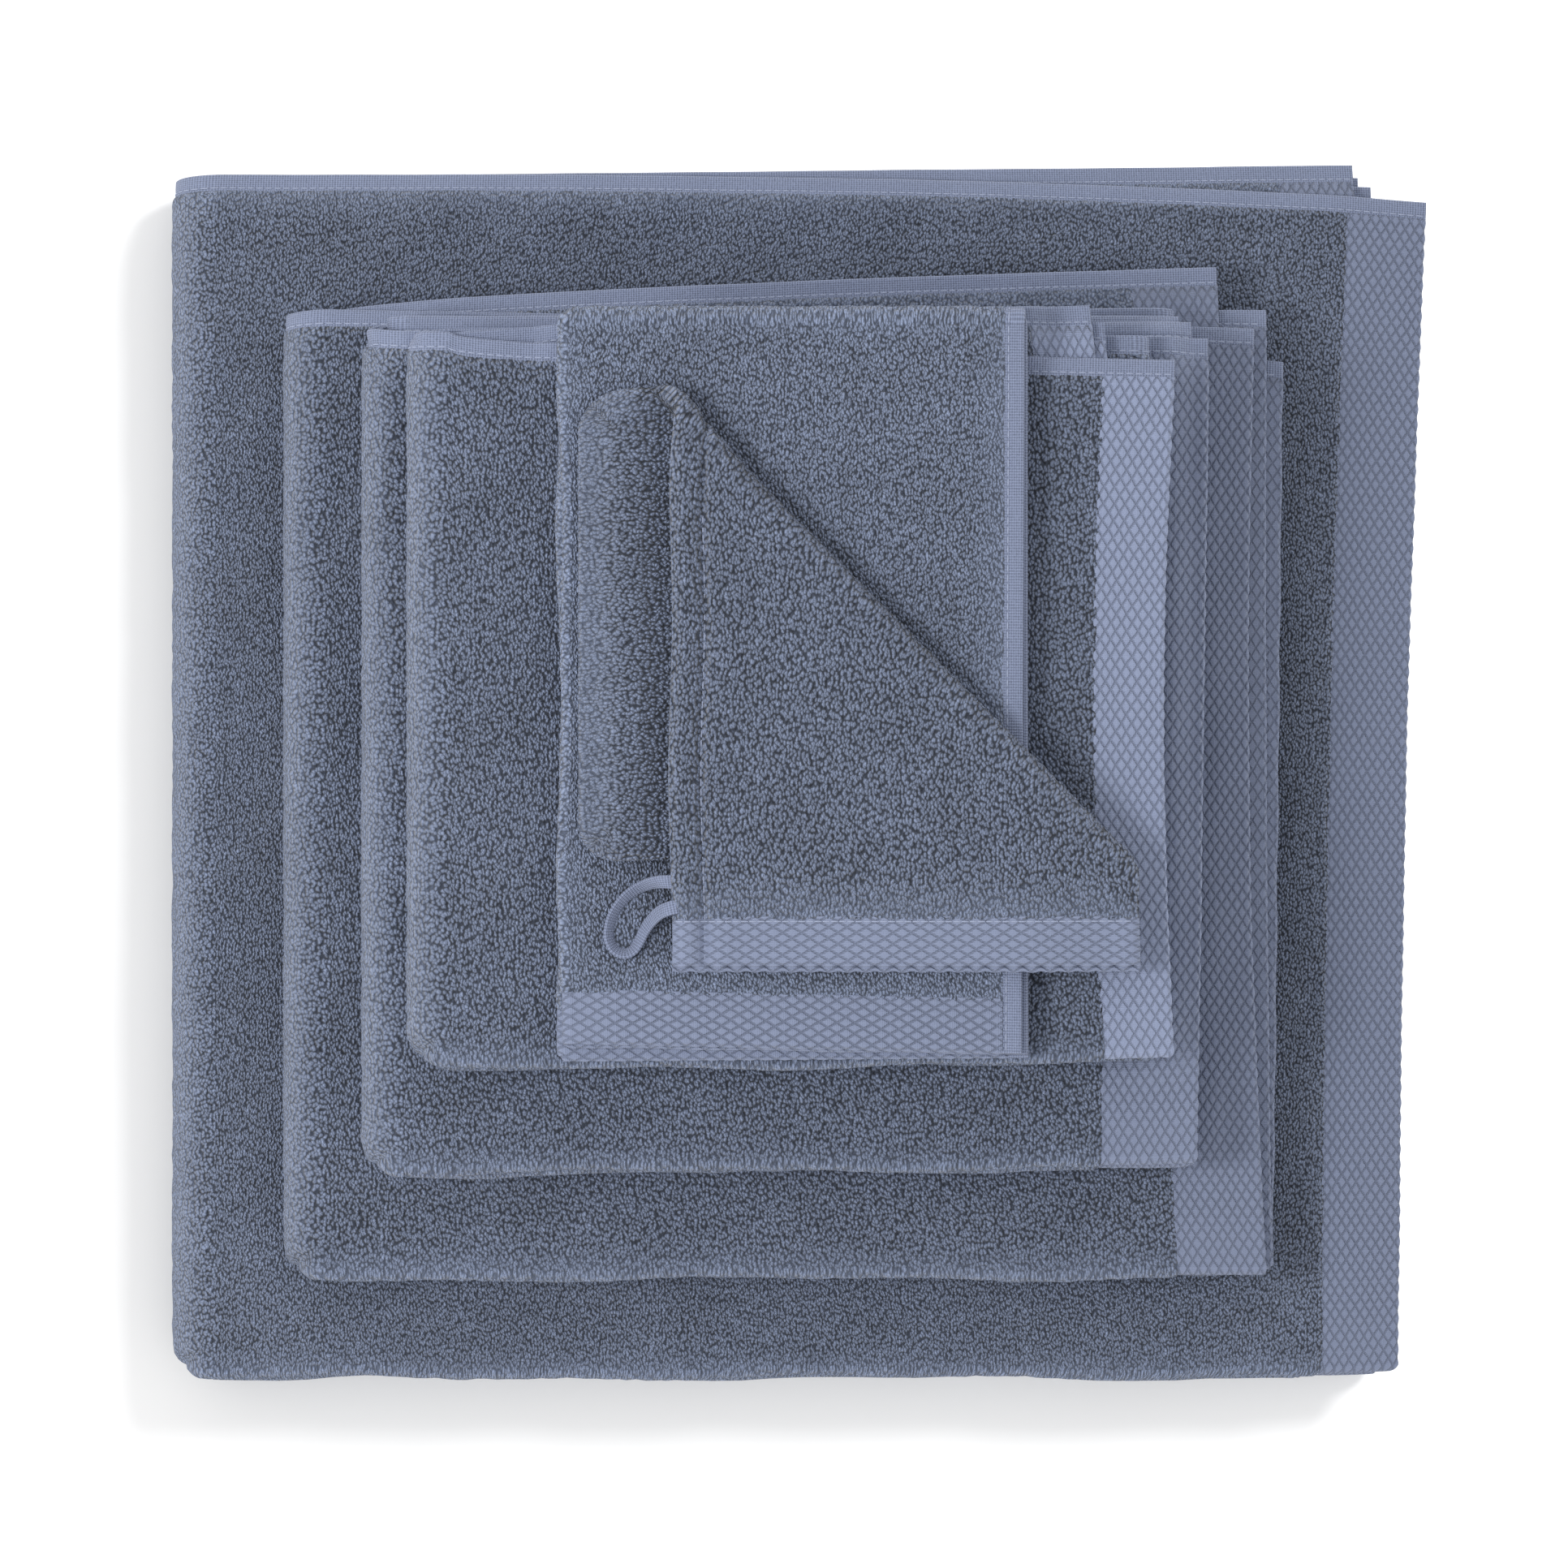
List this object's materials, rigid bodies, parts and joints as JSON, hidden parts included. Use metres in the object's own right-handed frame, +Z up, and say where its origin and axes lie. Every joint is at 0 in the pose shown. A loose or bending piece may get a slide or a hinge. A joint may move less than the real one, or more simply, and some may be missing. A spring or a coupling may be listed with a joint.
{
  "type": "bath towel set",
  "caption": "Stack of book-folded terry towels in falling sizes with woven diamond borders, topped by a wash mitt folded on the diagonal, with a hanging loop.",
  "frame": {"origin": "on the resting surface, under the middle of the whole stack", "axes": "+X runs from the towels' folded sides to their woven ends, +Y from the front folds to the side hems, +Z is up"},
  "size_m": [0.4518, 0.441, 0.1597],
  "materials": {
    "terry": "matte",
    "woven_border": "satin",
    "plain_hem": "matte",
    "thread": "satin",
    "loop_tape": "matte"
  },
  "bodies": {
    "bath_sheet": {"bath_sheet_terry": "terry", "bath_sheet_end_borders": "woven_border", "bath_sheet_side_hems": "plain_hem", "bath_sheet_stitching": "thread"},
    "bath_towel": {"bath_towel_terry": "terry", "bath_towel_end_borders": "woven_border", "bath_towel_side_hems": "plain_hem", "bath_towel_stitching": "thread"},
    "medium_towel": {"medium_towel_terry": "terry", "medium_towel_end_borders": "woven_border", "medium_towel_side_hems": "plain_hem", "medium_towel_stitching": "thread"},
    "hand_towel": {"hand_towel_terry": "terry", "hand_towel_end_borders": "woven_border", "hand_towel_side_hems": "plain_hem", "hand_towel_stitching": "thread"},
    "guest_towel": {"guest_towel_terry": "terry", "guest_towel_end_borders": "woven_border", "guest_towel_side_hems": "plain_hem", "guest_towel_stitching": "thread"},
    "wash_mitt": {"mitt_front_tip": "terry", "mitt_back_tip": "terry", "mitt_tip_seam": "thread", "mitt_front_fold": "terry", "mitt_back_fold": "terry"},
    "mitt_flap": {"mitt_front_panel": "terry", "mitt_back_panel": "terry", "mitt_front_mouth_band": "woven_border", "mitt_back_mouth_band": "woven_border", "mitt_side_seam": "thread", "mitt_band_stitching": "thread", "mitt_hanging_loop": "loop_tape"}
  },
  "joints": [
    {"name": "bath_towel_lift", "type": "slide", "parent": "bath_sheet", "child": "bath_towel", "axis": [0, 0, 1], "range_m": [0, 0.15]},
    {"name": "medium_towel_lift", "type": "slide", "parent": "bath_towel", "child": "medium_towel", "axis": [0, 0, 1], "range_m": [0, 0.15]},
    {"name": "hand_towel_lift", "type": "slide", "parent": "medium_towel", "child": "hand_towel", "axis": [0, 0, 1], "range_m": [0, 0.15]},
    {"name": "guest_towel_lift", "type": "slide", "parent": "hand_towel", "child": "guest_towel", "axis": [0, 0, 1], "range_m": [0, 0.15]},
    {"name": "wash_mitt_lift", "type": "slide", "parent": "guest_towel", "child": "wash_mitt", "axis": [0, 0, 1], "range_m": [0, 0.15]},
    {"name": "mitt_unfold", "type": "hinge", "parent": "wash_mitt", "child": "mitt_flap", "pos_m": [0.0363, 0.0363, 0.15285], "axis": [-0.7071, 0.7071, 0], "range_deg": [0, 170], "deforming": ["mitt_front_fold", "mitt_back_fold"]}
  ]
}
